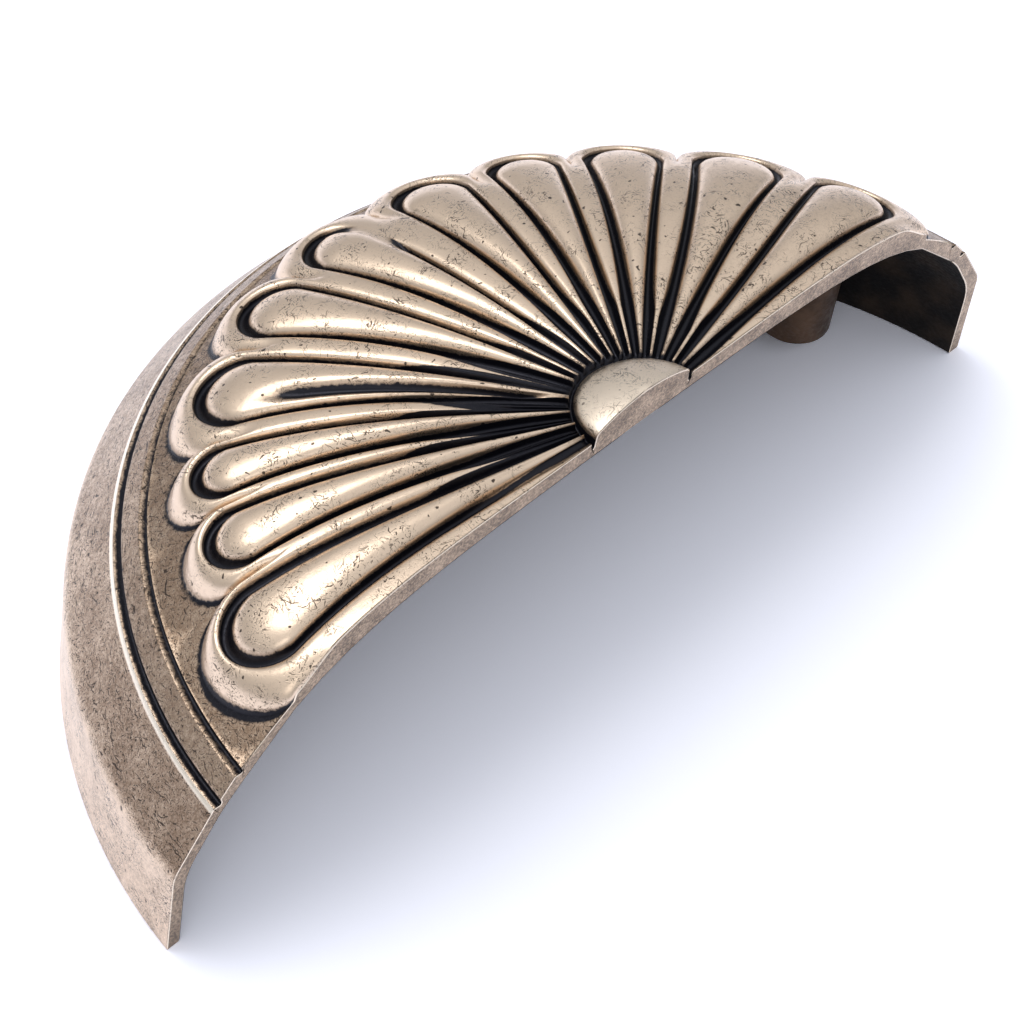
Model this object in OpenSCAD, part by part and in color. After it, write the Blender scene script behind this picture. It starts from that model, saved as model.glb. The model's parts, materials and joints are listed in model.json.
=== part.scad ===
// Cup pull: one casting with a stepped rim, a carved fan of petals and two screw posts inside.
// It lies on its back rim, the way it lies on a bench, with the finger opening facing -Y.

/* [Overall] */
// Length of the straight front edge, tip to tip
pull_length = 82; // [70:1:110]
// How far the centre of the rim's arc lies in front of the front edge
arc_offset = 5.7; // [3:0.1:9]
// Thickness of the rim
rim_thickness = 1.1; // [1:0.1:1.6]
// Thickness of the fan at the hub, measured straight down from its crests
fan_thickness = 1.4; // [1.2:0.1:2]
// Thickness of the fan at its scallops, measured straight down
fan_edge_thickness = 2.6; // [2.2:0.1:3]

/* [Rim] */
// Height of the upright wall
wall_height = 7.9; // [6:0.1:10]
// How far the upright wall leans in from bottom to top
wall_draft = 0.15; // [0.05:0.05:0.5]
// Distance of the ridge from the outside, seen from above
ridge_inset = 3.2; // [2.6:0.1:4]
// Height of the ridge at the top of the bevel
ridge_height = 12.4; // [11.4:0.1:13.4]
// Distance of the inner groove from the outside, seen from above
inner_groove_inset = 5.2; // [4.8:0.1:5.8]
// Height of the rim's surface at the inner groove
inner_groove_height = 14.7; // [14:0.1:15.5]
// Width of each groove, along the slope
groove_width = 0.8; // [0.5:0.1:1]
// Depth of each groove
groove_depth = 0.45; // [0.2:0.05:0.6]

/* [Fan] */
// Angle of the first petal from the right-hand end; the petals were cut by hand and are uneven
right_petal_1_angle = 18.2; // [16:0.2:20]
// Angle of the second petal from the right
right_petal_2_angle = 18; // [16:0.2:20]
// Angle of the third petal from the right
right_petal_3_angle = 16; // [14:0.2:18]
// Angle of the fourth petal from the right
right_petal_4_angle = 15; // [13:0.2:17]
// Angle of the fifth petal from the right, next to the middle one
right_petal_5_angle = 17.2; // [15:0.2:19]
// Angle of the first petal from the left-hand end
left_petal_1_angle = 16.8; // [15:0.2:19]
// Angle of the second petal from the left
left_petal_2_angle = 12.6; // [11:0.2:15]
// Angle of the third petal from the left
left_petal_3_angle = 11.8; // [11:0.2:15]
// Angle of the fourth petal from the left
left_petal_4_angle = 18.8; // [16:0.2:20]
// Angle of the fifth petal from the left, next to the middle one
left_petal_5_angle = 17; // [15:0.2:19]
// Angle of the plain strip along each half of the front edge
front_strip_angle = 4.5; // [2:0.5:6]
// Height of the fan's crests at the hub
fan_hub_height = 22.6; // [21:0.1:25]
// Height of the fan's edge at the front
fan_front_height = 18.3; // [17.5:0.1:19.5]
// Height of the fan's edge at the back
fan_back_height = 17; // [16.4:0.1:17.6]
// How long the dome stays level on its way to the front corners
crown_front = 6; // [4:0.5:8]
// How long the dome stays level on its way straight back
crown_back = 3; // [2:0.1:4]
// Reach of the scallops from the hub, along the front edge
scallop_front_reach = 33; // [31:0.1:34]
// Reach of the scallops from the hub, straight back
scallop_back_reach = 29.8; // [28:0.1:30.2]
// How far the notches between the scallops run in
notch_depth = 1.9; // [0.8:0.1:2.2]
// How far the border falls from its crest to the fan's edge
border_fall = 0.9; // [0.6:0.1:1]
// Step from the fan's edge down to the rim
fan_step = 0.6; // [0.4:0.1:0.7]
// Depth of the carved grooves round the lobes
carving_depth = 0.8; // [0.4:0.1:1]
// Width of the carved grooves round the lobes
carving_width = 0.9; // [0.7:0.05:1.2]
// Rise of the lobes above the strips between them
lobe_rise = 0.5; // [0.1:0.1:0.7]
// Width of the border round the outer end of each lobe
lobe_border = 1.9; // [1.6:0.1:2.6]
// Share of the petal's width that the lobe takes at its outer end
lobe_share = 0.66; // [0.5:0.01:0.7]

/* [Hub] */
// Radius of the half-round boss at the middle of the front edge
hub_radius = 4.6; // [4:0.1:5.4]
// Height of the boss above the fan
hub_rise = 1.7; // [1.2:0.1:2.4]
// Crown of the boss, from its edge to its middle
hub_crown = 1.1; // [0.6:0.1:1.5]
// How far the boss leans back, in degrees
hub_lean = 11; // [4:1:16]

/* [Screw posts] */
// Distance between the two screws
screw_spacing = 64; // [58:1:70]
// Distance of the screws behind the front edge
screw_setback = 9.6; // [8:0.1:11]
// Outside diameter of a post
post_d = 5.8; // [5.2:0.1:6.6]
// Diameter of the threaded hole, at its wall
thread_d = 3.3; // [2.5:0.1:4]
// Depth of the threaded hole
thread_depth = 8; // [5:0.5:9]
// How far the posts stay back from the back plane
post_recess = 1.5; // [0.2:0.1:2.5]

/* [Hidden] */
brass = "#b39a72";
$fn = 96;

// Samples along a lobe's side and round its end, and the side samples that the underside has
side_n = 8;
arc_n = 10;
under_steps = [for (j = [side_n:-2:0]) j];

// Rim, as radii and heights about the arc's axis
outer_r = norm([pull_length / 2, arc_offset]);
ridge_r = outer_r - ridge_inset;
groove_r = outer_r - inner_groove_inset;
slope = [groove_r - ridge_r, inner_groove_height - ridge_height];
up_slope = slope / norm(slope);
into_slope = [-up_slope[1], up_slope[0]];
pull_depth = outer_r - arc_offset;

// The rim's lip behind the inner groove, and the ring inside it where the fan joins the rim
lip_lift = 0.05;
lip_r = groove_r - groove_width * 1.1;
lip_z = inner_groove_height + lip_lift;
join_drop = 0.35;
join_r = groove_r - groove_width * 0.6;
join_z = lip_z - join_drop;

// Fan angles from the right-hand end of the front edge to the left-hand end
right_fan = [right_petal_1_angle, right_petal_2_angle, right_petal_3_angle,
             right_petal_4_angle, right_petal_5_angle];
left_fan = [left_petal_1_angle, left_petal_2_angle, left_petal_3_angle,
            left_petal_4_angle, left_petal_5_angle];
middle_angle = 180 - (right_fan + left_fan) * [1, 1, 1, 1, 1];
petal_angles = concat(right_fan, [middle_angle], [for (i = [4:-1:0]) left_fan[i]]);
petal_n = len(petal_angles);
fan_angles = [for (i = 0, a = 0; i <= petal_n; a = a + (i < petal_n ? petal_angles[i] : 0), i = i + 1)
              i == petal_n ? 180 : a];

// The fan starts a little inside the hub's edge
start_r = hub_radius * 0.8;

// How near a direction is to the front edge: 1 along it, 0 straight back
function near_front(a, power) = pow(1 - sin(a), power);
function scallop_reach(a) =
    scallop_back_reach + (scallop_front_reach - scallop_back_reach) * pow(abs(cos(a)), 3);
function edge_height(a) = fan_back_height + (fan_front_height - fan_back_height) * near_front(a, 3);
function crown_power(a) = crown_back + (crown_front - crown_back) * near_front(a, 1.3);

// Height of the crests of the fan at a place seen from above
function fan_angle(p) = atan2(p[1], p[0]);
function crest(p) =
    let (a = fan_angle(p), share = norm(p) / scallop_reach(a))
    fan_hub_height - (fan_hub_height - edge_height(a)) * pow(share, crown_power(a));

// Thickness of the fan there, from the crests down
function fan_depth(p) =
    let (share = norm(p) / scallop_reach(fan_angle(p)))
    fan_thickness + (fan_edge_thickness - fan_thickness) * min(1, share * share);

function polar(r, a) = [r * cos(a), r * sin(a)];
function raised(p, h) = [p[0], p[1], crest(p) + h];
function mix_points(p, q, t) = p * (1 - t) + q * t;

// Reach from the hub, along one direction, of a circle about the arc's axis
function reach_of(r, a) = sqrt(r * r - pow(arc_offset * cos(a), 2)) - arc_offset * sin(a);

// One petal, seen from above: its lobe and its outline as U shapes with matching samples
lobe_taper = 0.3;
function petal_mid(i) = (fan_angles[i] + fan_angles[i + 1]) / 2;
function petal_half(i) = (fan_angles[i + 1] - fan_angles[i]) / 2;
function lobe_low(i) = max(fan_angles[i], front_strip_angle);
function lobe_high(i) = min(fan_angles[i + 1], 180 - front_strip_angle);
function lobe_mid(i) = (lobe_low(i) + lobe_high(i)) / 2;
function lobe_half(i) = (lobe_high(i) - lobe_low(i)) / 2;
function lobe_end_r(i) =
    (scallop_reach(lobe_mid(i)) - lobe_border) / (1 + lobe_share * tan(lobe_half(i)));
function spine_r(i, j) = start_r + (lobe_end_r(i) - start_r) * j / side_n;
function lobe_half_width(i, j) =
    spine_r(i, j) * tan(lobe_half(i)) * lobe_share * (lobe_taper + (1 - lobe_taper) * j / side_n);
function notch_r(b) = scallop_reach(fan_angles[b]) - notch_depth;
function strip_point(b, j) = polar(start_r + (notch_r(b) - start_r) * j / side_n, fan_angles[b]);
function spine_point(i, j) = polar(spine_r(i, j), lobe_mid(i));
function lobe_point(i, j, side) =
    spine_point(i, j) + polar(lobe_half_width(i, j), lobe_mid(i) + 90 * side);
function lobe_arc(i, k) =
    spine_point(i, side_n) + polar(lobe_half_width(i, side_n), lobe_mid(i) - 90 + 180 * k / arc_n);
function scallop_arc(i, k) =
    let (t = -cos(180 * k / arc_n), a = petal_mid(i) + petal_half(i) * t)
    polar(scallop_reach(a) - notch_depth * (1 - sqrt(max(0, 1 - t * t))), a);

// U shapes: along the right-hand side, round the end and back along the left-hand side
side_steps = [for (j = [0:side_n]) j];
back_steps = [for (j = [side_n:-1:0]) j];
arc_steps = [for (k = [1:arc_n - 1]) k];
function lobe_outline(i) = concat(
    [for (j = side_steps) lobe_point(i, j, -1)],
    [for (k = arc_steps) lobe_arc(i, k)],
    [for (j = back_steps) lobe_point(i, j, 1)]);
function petal_outline(i) = concat(
    [for (j = side_steps) strip_point(i, j)],
    [for (k = arc_steps) scallop_arc(i, k)],
    [for (j = back_steps) strip_point(i + 1, j)]);
function lobe_spine(i) = concat(
    [for (j = side_steps) spine_point(i, j)],
    [for (k = arc_steps) spine_point(i, side_n)],
    [for (j = back_steps) spine_point(i, j)]);
u_n = 2 * (side_n + 1) + arc_n - 1;

// Contours from the lobe's shoulder out to the strip, as place and height.
// Places run from 0 on the spine to 1 at the lobe's edge, 2 at the groove's far bank and 3 on the strip.
contours = [
    [0.55, lobe_rise * 0.75],
    [0.86, -carving_depth * 0.05],
    [1, -carving_depth * 0.75],
    [1.5, -carving_depth],
    [2, -carving_depth * 0.15],
    [2.5, 0]];
contour_n = len(contours);
strip_sink = -carving_depth * 0.08;
edge_sink = -border_fall;
groove_limit = 0.8;
function contour_point(spine, lobe, outline, t) =
    let (bank = mix_points(lobe, outline, min(groove_limit, carving_width / norm(outline - lobe))))
    t <= 1 ? mix_points(spine, lobe, t)
    : t <= 2 ? mix_points(lobe, bank, t - 1)
    : mix_points(bank, outline, t - 2);

// Points of the top, petal by petal, then the strips between the petals
function petal_points(i) =
    let (lobe = lobe_outline(i), outline = petal_outline(i), spine = lobe_spine(i))
    concat(
        [for (j = side_steps) raised(spine_point(i, j), lobe_rise)],
        [for (c = contours) for (m = [0:u_n - 1])
            raised(contour_point(spine[m], lobe[m], outline[m], c[0]), c[1])],
        [for (k = arc_steps) raised(scallop_arc(i, k), edge_sink)]);
petal_size = side_n + 1 + contour_n * u_n + arc_n - 1;
strip_start = petal_n * petal_size;
strip_size = side_n + 1;
strip_points = [for (b = [0:petal_n]) for (j = side_steps)
    raised(strip_point(b, j), j == side_n ? edge_sink : strip_sink)];
hub_point = strip_start + (petal_n + 1) * strip_size;

// Rings round the scalloped outline: foot of the step, join with the rim, and the underside
outline_n = petal_n * arc_n + 1;
outline = [for (i = [0:petal_n - 1]) for (k = [(i == 0 ? 0 : 1):arc_n]) scallop_arc(i, k)];
foot_ring = [for (p = outline) raised(p, edge_sink - fan_step)];
join_ring = [for (p = outline)
    let (a = fan_angle(p), q = polar(reach_of(join_r, a), a)) [q[0], q[1], join_z]];
join_under = [for (q = join_ring) q - [0, 0, rim_thickness]];
under_rings = [for (j = under_steps) for (p = outline)
    let (a = fan_angle(p), reach = scallop_reach(a) - notch_depth)
    let (q = polar(start_r + (reach - start_r) * j / side_n, a)) raised(q, -fan_depth(q))];
ring_start = hub_point + 1;
under_n = len(under_steps);
ring_n = 3 + under_n;
under_hub = ring_start + ring_n * outline_n;

fan_points = concat(
    [for (i = [0:petal_n - 1]) each petal_points(i)],
    strip_points,
    [[0, 0, fan_hub_height]],
    foot_ring, join_ring, join_under, under_rings,
    [[0, 0, fan_hub_height - fan_thickness]]);

// Numbers of the points in that list
function spine_id(i, m) =
    i * petal_size + (m <= side_n ? m : m < side_n + arc_n ? side_n : u_n - 1 - m);
function strip_id(b, j) = strip_start + b * strip_size + j;
function rim_id(i, m) =
    m <= side_n ? strip_id(i, m)
    : m < side_n + arc_n ? i * petal_size + side_n + 1 + contour_n * u_n + m - side_n - 1
    : strip_id(i + 1, u_n - 1 - m);
function contour_id(i, c, m) =
    c == -1 ? spine_id(i, m) : c == contour_n ? rim_id(i, m) : i * petal_size + side_n + 1 + c * u_n + m;
function ring_id(r, o) =
    let (i = min(floor(o / arc_n), petal_n - 1))
    r == -1 ? rim_id(i, side_n + o - arc_n * i) : ring_start + r * outline_n + o;

// Two triangles of a strip of the mesh, with one left out where two points are the same
function quad(a, b, c, d) = concat(a == b ? [] : [[a, b, c]], c == d ? [] : [[a, c, d]]);
top_faces = [for (i = [0:petal_n - 1]) for (c = [-1:contour_n - 1]) for (m = [0:u_n - 2])
    let (near = contour_id(i, c, m), next = contour_id(i, c, m + 1))
    each quad(near, next, contour_id(i, c + 1, m + 1), contour_id(i, c + 1, m))];
ring_faces = [for (r = [-1:ring_n - 2]) for (o = [0:outline_n - 2])
    each quad(ring_id(r, o), ring_id(r, o + 1), ring_id(r + 1, o + 1), ring_id(r + 1, o))];
under_faces = [for (o = [0:outline_n - 2])
    [ring_id(ring_n - 1, o), ring_id(ring_n - 1, o + 1), under_hub]];
hub_sequence = [for (i = [0:petal_n - 1]) each concat(
    [for (c = [contour_n:-1:-1]) contour_id(i, c, 0)],
    [for (c = [0:contour_n - 1]) contour_id(i, c, u_n - 1)])];
hub_ids = concat(hub_sequence, [strip_id(petal_n, 0)]);
hub_faces = [for (h = [0:len(hub_ids) - 2]) [hub_point, hub_ids[h + 1], hub_ids[h]]];

// Cut along the front edge, from the strip at one end of the fan down to the underside
function front_half(b, o) = concat(
    [[strip_id(b, side_n - 1), strip_id(b, side_n), ring_id(0, o)],
     [ring_id(0, o), ring_id(1, o), ring_id(2, o)],
     [ring_id(0, o), ring_id(2, o), ring_id(3, o)],
     [hub_point, strip_id(b, 0), ring_id(ring_n - 1, o)],
     [hub_point, ring_id(ring_n - 1, o), under_hub]],
    [for (u = [0:under_n - 2]) let (j = under_steps[u], r = 3 + u) each
        [[strip_id(b, j - 1), j == side_n ? ring_id(0, o) : strip_id(b, j), ring_id(r, o)],
         [strip_id(b, j - 1), ring_id(r, o), ring_id(r + 1, o)],
         [strip_id(b, j - 2), strip_id(b, j - 1), ring_id(r + 1, o)]]]);
front_faces = concat(
    front_half(0, 0),
    [for (f = front_half(petal_n, outline_n - 1)) [f[0], f[2], f[1]]]);
fan_faces = concat(top_faces, ring_faces, under_faces, hub_faces, front_faces);

// Where a post stands, and the places in the fan's wall that its top ends at: at the notch and further in
post_place = [screw_spacing / 2, screw_setback];
post_angle = fan_angle(post_place);
wall_share = 0.4;
wall_notch = polar(scallop_reach(post_angle) - notch_depth, post_angle);
wall_inner = polar(norm(wall_notch) - post_d, post_angle);
wall_notch_z = crest(wall_notch)
    + mix_points(edge_sink - fan_step, -fan_depth(wall_notch), wall_share);
wall_inner_z = crest(wall_inner) + mix_points(-carving_depth, -fan_depth(wall_inner), wall_share);
function arc_radius(p) = norm([p[0], p[1] + arc_offset]);

// Carved fan, with its underside and the cut along the front edge
module fan() {
    polyhedron(points = fan_points, faces = fan_faces, convexity = 10);
}

// Half-space behind the front edge
module behind_front() {
    reach = outer_r * 2;
    translate([-reach, 0, -reach]) cube([2 * reach, reach, 2 * reach]);
}

// Section of the rim, as radius and height: outside up, then inside down
module rim_section() {
    notch = into_slope * groove_depth;
    first_groove = [ridge_r, ridge_height] + up_slope * groove_width * 0.7;
    second_groove = [groove_r, inner_groove_height];
    half_groove = up_slope * groove_width / 2;
    bevel = [ridge_inset - wall_draft, ridge_height - wall_height];
    bevel_in = [bevel[1], bevel[0]] / norm(bevel) * -rim_thickness;
    slope_in = into_slope * rim_thickness;
    polygon([
        [outer_r, 0],
        [outer_r - wall_draft, wall_height],
        [ridge_r, ridge_height],
        first_groove - half_groove,
        first_groove + notch,
        first_groove + half_groove,
        second_groove - half_groove,
        second_groove + notch,
        [join_r + groove_width * 0.15, lip_z],
        [lip_r, lip_z],
        [lip_r, lip_z - rim_thickness],
        [ridge_r, ridge_height] + (slope_in + bevel_in) / 2,
        [outer_r - wall_draft - rim_thickness, wall_height - rim_thickness * 0.5],
        [outer_r - rim_thickness, 0]]);
}

// Stepped rim with its two grooves
module rim() {
    intersection() {
        translate([0, -arc_offset, 0]) rotate_extrude() rim_section();
        behind_front();
    }
}

// Half-round boss where the petals meet, with its root inside the fan's wall
module hub() {
    root_z = fan_hub_height - fan_thickness * 0.75;
    crown_r = (hub_radius * hub_radius + hub_crown * hub_crown) / (2 * hub_crown);
    intersection() {
        translate([0, 0, fan_hub_height]) rotate([-hub_lean, 0, 0]) {
            intersection() {
                translate([0, 0, -hub_radius]) cylinder(r = hub_radius, h = hub_radius + hub_rise);
                translate([0, 0, hub_rise - crown_r]) sphere(r = crown_r);
            }
        }
        translate([0, 0, root_z]) cylinder(r = 2 * hub_radius, h = 2 * hub_radius);
        behind_front();
    }
}

// Post for one screw, from its seat up into the wall, with a blind threaded hole
module post() {
    difference() {
        intersection() {
            translate([post_place[0], post_place[1], post_recess])
                cylinder(d = post_d, h = fan_hub_height);
            translate([0, -arc_offset, 0]) rotate_extrude() polygon([
                [arc_radius(wall_inner), 0],
                [outer_r - rim_thickness, 0],
                [outer_r - rim_thickness * 0.6, wall_height - rim_thickness * 0.3],
                [ridge_r - rim_thickness * 0.3, ridge_height - rim_thickness * 0.3],
                [join_r, join_z - rim_thickness * wall_share],
                [arc_radius(wall_notch), wall_notch_z],
                [arc_radius(wall_inner), wall_inner_z]]);
        }
        translate([post_place[0], post_place[1], 0])
            cylinder(d = thread_d, h = post_recess + thread_depth);
    }
}

// The whole casting, with its origin at the middle of the back plane
module cup_pull() {
    color(brass) translate([0, -pull_depth / 2, 0]) {
        rim();
        fan();
        hub();
        post();
        mirror([1, 0, 0]) post();
    }
}

cup_pull();
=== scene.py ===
# %% [markdown]
# # A cast cup pull in antique brass
# A cup pull is a half-round shell that is screwed to a drawer front from behind. Fingers reach under it.
# This one is a single casting with a stepped rim and a fan of eleven carved petals round a small hub. The
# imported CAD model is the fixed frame. Lengths below are in millimetres, and MM turns them into metres.

# %% Load the frame
import json
import math

import bmesh
import bpy
import numpy as np
from mathutils import Matrix, Vector


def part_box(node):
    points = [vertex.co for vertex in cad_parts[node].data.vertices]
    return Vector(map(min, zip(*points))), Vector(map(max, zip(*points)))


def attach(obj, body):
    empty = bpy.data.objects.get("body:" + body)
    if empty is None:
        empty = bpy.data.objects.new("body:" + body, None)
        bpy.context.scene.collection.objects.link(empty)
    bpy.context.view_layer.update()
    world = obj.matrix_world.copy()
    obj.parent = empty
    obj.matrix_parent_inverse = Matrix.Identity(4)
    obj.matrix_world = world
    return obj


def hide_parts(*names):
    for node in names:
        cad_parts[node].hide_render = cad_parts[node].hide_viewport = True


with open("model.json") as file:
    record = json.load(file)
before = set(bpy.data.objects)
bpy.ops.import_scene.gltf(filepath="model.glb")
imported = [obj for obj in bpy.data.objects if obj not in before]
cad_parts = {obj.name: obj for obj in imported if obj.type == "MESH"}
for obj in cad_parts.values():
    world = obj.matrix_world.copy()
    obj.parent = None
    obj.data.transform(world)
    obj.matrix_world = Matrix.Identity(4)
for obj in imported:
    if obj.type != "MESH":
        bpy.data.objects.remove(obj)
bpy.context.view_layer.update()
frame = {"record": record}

MM = 0.001
low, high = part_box("cup_pull")
pull_length, pull_depth, pull_height = ((high[k] - low[k]) / MM for k in range(3))
FRONT_Y = low.y / MM
print("cup pull:", round(pull_length, 2), "x", round(pull_depth, 2), "x", round(pull_height, 2), "mm")

# %% [markdown]
# ## Camera
# The photograph looks down on the left end with a long lens, rolled a little. A camera placed by eye is
# hard to get right, because its distance changes how fast the far end shrinks. So its place, its three axes
# and its lens are written as numbers, for an image 1024 pixels wide.

# %% Camera
IMAGE_WIDTH = 1024
FOCAL_PIXELS = 3425.8
SENSOR_MM = 36.0
CAMERA_PLACE = (-127.75, -84.76 + FRONT_Y, 187.05)
CAMERA_RIGHT = Vector((0.68805, -0.71684, 0.11280))
CAMERA_UP = Vector((0.49832, 0.57974, 0.64465))
CAMERA_BACK = Vector((-0.52751, -0.38735, 0.75611))


def new_object(name, data):
    made = bpy.data.objects.new(name, data)
    bpy.context.scene.collection.objects.link(made)
    return made


camera_data = bpy.data.cameras.new("photo_camera")
camera_data.sensor_width = SENSOR_MM
camera_data.lens = FOCAL_PIXELS * SENSOR_MM / IMAGE_WIDTH
camera_data.clip_start = 0.01
camera = new_object("photo_camera", camera_data)
turn = Matrix((CAMERA_RIGHT, CAMERA_UP, CAMERA_BACK)).transposed().to_4x4()
camera.matrix_world = Matrix.Translation(Vector(CAMERA_PLACE) * MM) @ turn
bpy.context.scene.camera = camera
print("lens:", round(camera_data.lens, 1), "mm")

# %% [markdown]
# ## The dome under the carving
# The fan lies on a dome that stays high along the front edge and falls away towards the back. It could be
# sculpted, but a rule is easier to change: the height depends on the direction from the hub and on the
# share of the way to the scallops. The front edge lies on y = 0 until the mesh is made.

# %% Height of the dome
FAN_HUB_HEIGHT, FAN_FRONT_HEIGHT, FAN_BACK_HEIGHT = 22.6, 18.3, 17.0
SCALLOP_FRONT = 33.0
SCALLOP_BACK = 29.8
CROWN_FRONT = 6.0
CROWN_BACK = 3.0
EDGE_TURN = 3
CROWN_TURN = 1.3


def polar(r, a):
    return np.stack([r * np.cos(a), r * np.sin(a)], -1)


def near_front(a, power):
    """1 along the front edge, and 0 straight back from the hub."""
    return np.power(np.clip(1 - np.sin(a), 0, 1), power)


def scallop_reach(a):
    return SCALLOP_BACK + (SCALLOP_FRONT - SCALLOP_BACK) * np.abs(np.cos(a)) ** 3


def fan_angle(p):
    return np.arctan2(np.maximum(p[..., 1], 0), p[..., 0])


def fan_share(p):
    return np.linalg.norm(p, axis=-1) / scallop_reach(fan_angle(p))


def crest(p):
    a = fan_angle(p)
    edge = FAN_BACK_HEIGHT + (FAN_FRONT_HEIGHT - FAN_BACK_HEIGHT) * near_front(a, EDGE_TURN)
    power = CROWN_BACK + (CROWN_FRONT - CROWN_BACK) * near_front(a, CROWN_TURN)
    return FAN_HUB_HEIGHT - (FAN_HUB_HEIGHT - edge) * fan_share(p) ** power


dome_points = np.array([(0.0, 0.001), (SCALLOP_FRONT, 0.0), (0.0, SCALLOP_BACK)])
print("dome height at the hub, front and back:", np.round(crest(dome_points), 2), "mm")

# %% [markdown]
# ## One mesh for the whole casting
# A casting has no joints, so its mesh is one closed skin, where boxes and booleans would leave hard seams.
# It is laid in bands that share points: U-shaped bands in each petal, rings over the rim and back under the
# fan, rings up the hub, and the flat front cut. A node tree carves it later.

# %% Skin that collects bands
OUTSIDE, CUT, INSIDE, POST = 0, 1, 2, 3
WELD_STEPS = 5000
WELD_SHIFT = 0.313


class Skin:
    """Points with values, and the faces between them. Points at the same place become one."""

    def __init__(self):
        self.points, self.values, self.faces = [], [], []
        self.count = 0

    def add(self, xyz, **values):
        """Adds a block of points, with named values for the finish, and returns their numbers."""
        shape = xyz.shape[:-1]
        self.points.append(xyz.reshape(-1, 3))
        self.values.append({k: np.broadcast_to(v, shape).reshape(-1) for k, v in values.items()})
        ids = np.arange(self.count, self.count + int(np.prod(shape))).reshape(shape)
        self.count += ids.size
        return ids

    def band(self, ids, part):
        """Faces between the rows of a block of point numbers."""
        quads = np.stack([ids[:-1, :-1], ids[:-1, 1:], ids[1:, 1:], ids[1:, :-1]], -1).reshape(-1, 4)
        self.faces.append((quads, part))

    def welded(self):
        """Points, values, faces and parts after the weld, and the new number of each old point."""
        points = np.concatenate(self.points)
        blocks = list(zip(self.points, self.values))
        names = sorted({k for v in self.values for k in v})
        values = {k: np.concatenate([v.get(k, np.zeros(len(p))) for p, v in blocks]) for k in names}
        keys = np.round(points * WELD_STEPS + WELD_SHIFT).astype(np.int64)
        _, first, number = np.unique(keys, axis=0, return_index=True, return_inverse=True)
        number = number.reshape(-1)
        faces, parts = [], []
        for quads, part in self.faces:
            for face in number[quads].tolist():
                kept = [v for k, v in enumerate(face) if v != face[k - 1]]
                if len(set(kept)) == len(kept) and len(kept) > 2:
                    faces.append(kept)
                    parts.append(part)
        return points[first], {k: v[first] for k, v in values.items()}, faces, parts, number


skin = Skin()
print("skin ready, with parts outside, cut, inside and post")

# %% [markdown]
# ## Plan of the petals
# Each petal is a teardrop lobe in a U-shaped groove, inside a raised border that ends in a scallop. They
# were cut by hand: the angles are uneven, and those on the left differ in length and have deeper notches.
# Curves could be drawn for each. Here a petal follows from its two angles, as three U-shaped lines with
# matching points: spine, lobe edge and outline. Petals count from the right, from 0.

# %% Angles of the petals
RIGHT_FAN = (18.2, 18.0, 16.0, 15.0, 17.2)
LEFT_FAN = (16.8, 12.6, 11.8, 18.8, 17.0)
middle_angle = 180 - sum(RIGHT_FAN) - sum(LEFT_FAN)
petal_angles = [*RIGHT_FAN, middle_angle, *reversed(LEFT_FAN)]
fan_angles = np.radians(np.concatenate([[0], np.cumsum(petal_angles)]))
fan_angles[-1] = math.pi
PETALS = len(petal_angles)
print(PETALS, "petals, the middle one", round(middle_angle, 1), "degrees wide")

# %% Plan of one petal
HUB_RADIUS = 4.6
START_R = HUB_RADIUS + 0.35
TAPER_R = HUB_RADIUS * 0.8
FRONT_STRIP = math.radians(2.0)
NOTCH_DEPTH = 1.9
LOBE_BORDER = 1.9
LOBE_SHARE = 0.66
LOBE_TAPER = 0.3
LOST_PETAL, LOST_WIDTH = 5, 0.62
SHORTER_SCALLOP = {8: 0.7, 9: 1.0, 10: -0.6}
SHORTER_LOBE = {8: 0.7, 9: 0.9, 10: -0.7}
DEEPER_NOTCH = {6: 0.5, 7: 0.7, 8: 0.9, 9: 1.4, 10: 1.4}
SIDE_N = 56
ARC_N = 36
U_N = 2 * (SIDE_N + 1) + ARC_N - 1
along = np.linspace(0, 1, SIDE_N + 1)
round_end = np.arange(1, ARC_N) / ARC_N


def notch_depth(b):
    return NOTCH_DEPTH + DEEPER_NOTCH.get(b, 0)


def strip_line(b):
    notch_r = scallop_reach(fan_angles[b]) - notch_depth(b)
    line = polar(START_R + (notch_r - START_R) * along, fan_angles[b])
    if b in (0, PETALS):
        line[:, 1] = 0
    return line


def u_shape(right, end, left):
    return np.concatenate([right, end, left[::-1]])


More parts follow.
